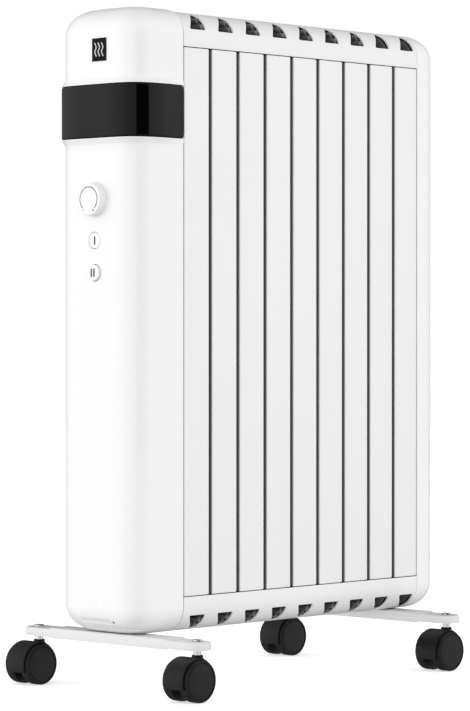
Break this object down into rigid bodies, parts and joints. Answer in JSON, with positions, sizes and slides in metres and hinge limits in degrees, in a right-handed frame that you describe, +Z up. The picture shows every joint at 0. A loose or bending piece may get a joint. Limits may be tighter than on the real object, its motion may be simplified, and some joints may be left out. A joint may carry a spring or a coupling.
{
  "type": "oil filled radiator heater",
  "caption": "Slim white oil filled radiator with flat fin panels, vented covers, a control housing with a dial and push buttons, and swivel casters under two feet.",
  "frame": {"origin": "on the floor under the middle of the heater's bounding box", "axes": "+Z up, +Y from the control end to the plain rear end along the row of fins, +X across the thin width, to the right when facing the controls"},
  "size_m": [0.2502, 0.4569, 0.658],
  "materials": {
    "panel_white": "satin white enamel",
    "shell_white": "smooth glossy white moulding",
    "foot_white": "satin white powder coat",
    "gloss_black": "high gloss black",
    "caster_black": "fine textured black",
    "bare_steel": "zinc plated",
    "switch_grey": "matt dark grey",
    "element_steel": "bare steel"
  },
  "bodies": {
    "heater": {"fin_1": "panel_white", "fin_2": "panel_white", "fin_3": "panel_white", "fin_4": "panel_white", "fin_5": "panel_white", "fin_6": "panel_white", "fin_7": "panel_white", "fin_8": "panel_white", "fin_9": "panel_white", "top_cover": "panel_white", "bottom_cover": "panel_white", "control_housing": "shell_white", "rear_cap": "shell_white", "handle_band": "gloss_black", "badge": "gloss_black", "front_foot": "foot_white", "rear_foot": "foot_white", "control_bracket": "bare_steel", "housing_back_plate": "bare_steel", "housing_screw": "bare_steel", "thermostat_body": "switch_grey", "power_switch_one": "switch_grey", "power_switch_two": "switch_grey", "terminal_block": "switch_grey", "thermal_cutout": "switch_grey", "cord_grommet": "caster_black", "upper_front_plug": "element_steel", "upper_rear_plug": "element_steel", "lower_rear_plug": "element_steel", "heating_element": "element_steel", "front_foot_screw_left": "bare_steel", "front_left_caster_stem": "bare_steel", "front_foot_screw_right": "bare_steel", "front_right_caster_stem": "bare_steel", "rear_foot_screw_left": "bare_steel", "rear_left_caster_stem": "bare_steel", "rear_foot_screw_right": "bare_steel", "rear_right_caster_stem": "bare_steel"},
    "front_left_caster": {"front_left_caster_hood": "caster_black", "front_left_caster_axle": "bare_steel"},
    "front_left_caster_left_wheel": {"front_left_caster_wheel_left": "caster_black"},
    "front_left_caster_right_wheel": {"front_left_caster_wheel_right": "caster_black"},
    "front_right_caster": {"front_right_caster_hood": "caster_black", "front_right_caster_axle": "bare_steel"},
    "front_right_caster_left_wheel": {"front_right_caster_wheel_left": "caster_black"},
    "front_right_caster_right_wheel": {"front_right_caster_wheel_right": "caster_black"},
    "rear_left_caster": {"rear_left_caster_hood": "caster_black", "rear_left_caster_axle": "bare_steel"},
    "rear_left_caster_left_wheel": {"rear_left_caster_wheel_left": "caster_black"},
    "rear_left_caster_right_wheel": {"rear_left_caster_wheel_right": "caster_black"},
    "rear_right_caster": {"rear_right_caster_hood": "caster_black", "rear_right_caster_axle": "bare_steel"},
    "rear_right_caster_left_wheel": {"rear_right_caster_wheel_left": "caster_black"},
    "rear_right_caster_right_wheel": {"rear_right_caster_wheel_right": "caster_black"},
    "thermostat_dial": {"thermostat_knob": "shell_white", "thermostat_shaft": "bare_steel"},
    "button_one": {"power_button_one": "shell_white"},
    "button_two": {"power_button_two": "shell_white"}
  },
  "joints": [
    {"name": "thermostat_turn", "type": "hinge", "parent": "heater", "child": "thermostat_dial", "pos_m": [0, -0.21935, 0.4738], "axis": [0, 1, 0], "range_deg": [0, 270]},
    {"name": "button_one_press", "type": "slide", "parent": "heater", "child": "button_one", "axis": [0, 1, 0], "range_m": [-0.0027, 0.0008], "stiffness_N_per_m": 300},
    {"name": "button_two_press", "type": "slide", "parent": "heater", "child": "button_two", "axis": [0, 1, 0], "range_m": [0, 0.0035], "stiffness_N_per_m": 300},
    {"name": "front_left_caster_swivel", "type": "hinge", "parent": "heater", "child": "front_left_caster", "pos_m": [-0.1086, -0.19125, 0.042], "axis": [0, 0, 1], "continuous": true},
    {"name": "front_left_caster_left_roll", "type": "hinge", "parent": "front_left_caster", "child": "front_left_caster_left_wheel", "pos_m": [-0.1086, -0.20225, 0.02], "axis": [1, 0, 0], "continuous": true},
    {"name": "front_left_caster_right_roll", "type": "hinge", "parent": "front_left_caster", "child": "front_left_caster_right_wheel", "pos_m": [-0.1086, -0.20225, 0.02], "axis": [1, 0, 0], "continuous": true},
    {"name": "front_right_caster_swivel", "type": "hinge", "parent": "heater", "child": "front_right_caster", "pos_m": [0.1086, -0.19125, 0.042], "axis": [0, 0, 1], "continuous": true},
    {"name": "front_right_caster_left_roll", "type": "hinge", "parent": "front_right_caster", "child": "front_right_caster_left_wheel", "pos_m": [0.1086, -0.20225, 0.02], "axis": [1, 0, 0], "continuous": true},
    {"name": "front_right_caster_right_roll", "type": "hinge", "parent": "front_right_caster", "child": "front_right_caster_right_wheel", "pos_m": [0.1086, -0.20225, 0.02], "axis": [1, 0, 0], "continuous": true},
    {"name": "rear_left_caster_swivel", "type": "hinge", "parent": "heater", "child": "rear_left_caster", "pos_m": [-0.1086, 0.17735, 0.042], "axis": [0, 0, 1], "continuous": true},
    {"name": "rear_left_caster_left_roll", "type": "hinge", "parent": "rear_left_caster", "child": "rear_left_caster_left_wheel", "pos_m": [-0.1086, 0.16635, 0.02], "axis": [1, 0, 0], "continuous": true},
    {"name": "rear_left_caster_right_roll", "type": "hinge", "parent": "rear_left_caster", "child": "rear_left_caster_right_wheel", "pos_m": [-0.1086, 0.16635, 0.02], "axis": [1, 0, 0], "continuous": true},
    {"name": "rear_right_caster_swivel", "type": "hinge", "parent": "heater", "child": "rear_right_caster", "pos_m": [0.1086, 0.17735, 0.042], "axis": [0, 0, 1], "continuous": true},
    {"name": "rear_right_caster_left_roll", "type": "hinge", "parent": "rear_right_caster", "child": "rear_right_caster_left_wheel", "pos_m": [0.1086, 0.16635, 0.02], "axis": [1, 0, 0], "continuous": true},
    {"name": "rear_right_caster_right_roll", "type": "hinge", "parent": "rear_right_caster", "child": "rear_right_caster_right_wheel", "pos_m": [0.1086, 0.16635, 0.02], "axis": [1, 0, 0], "continuous": true}
  ]
}
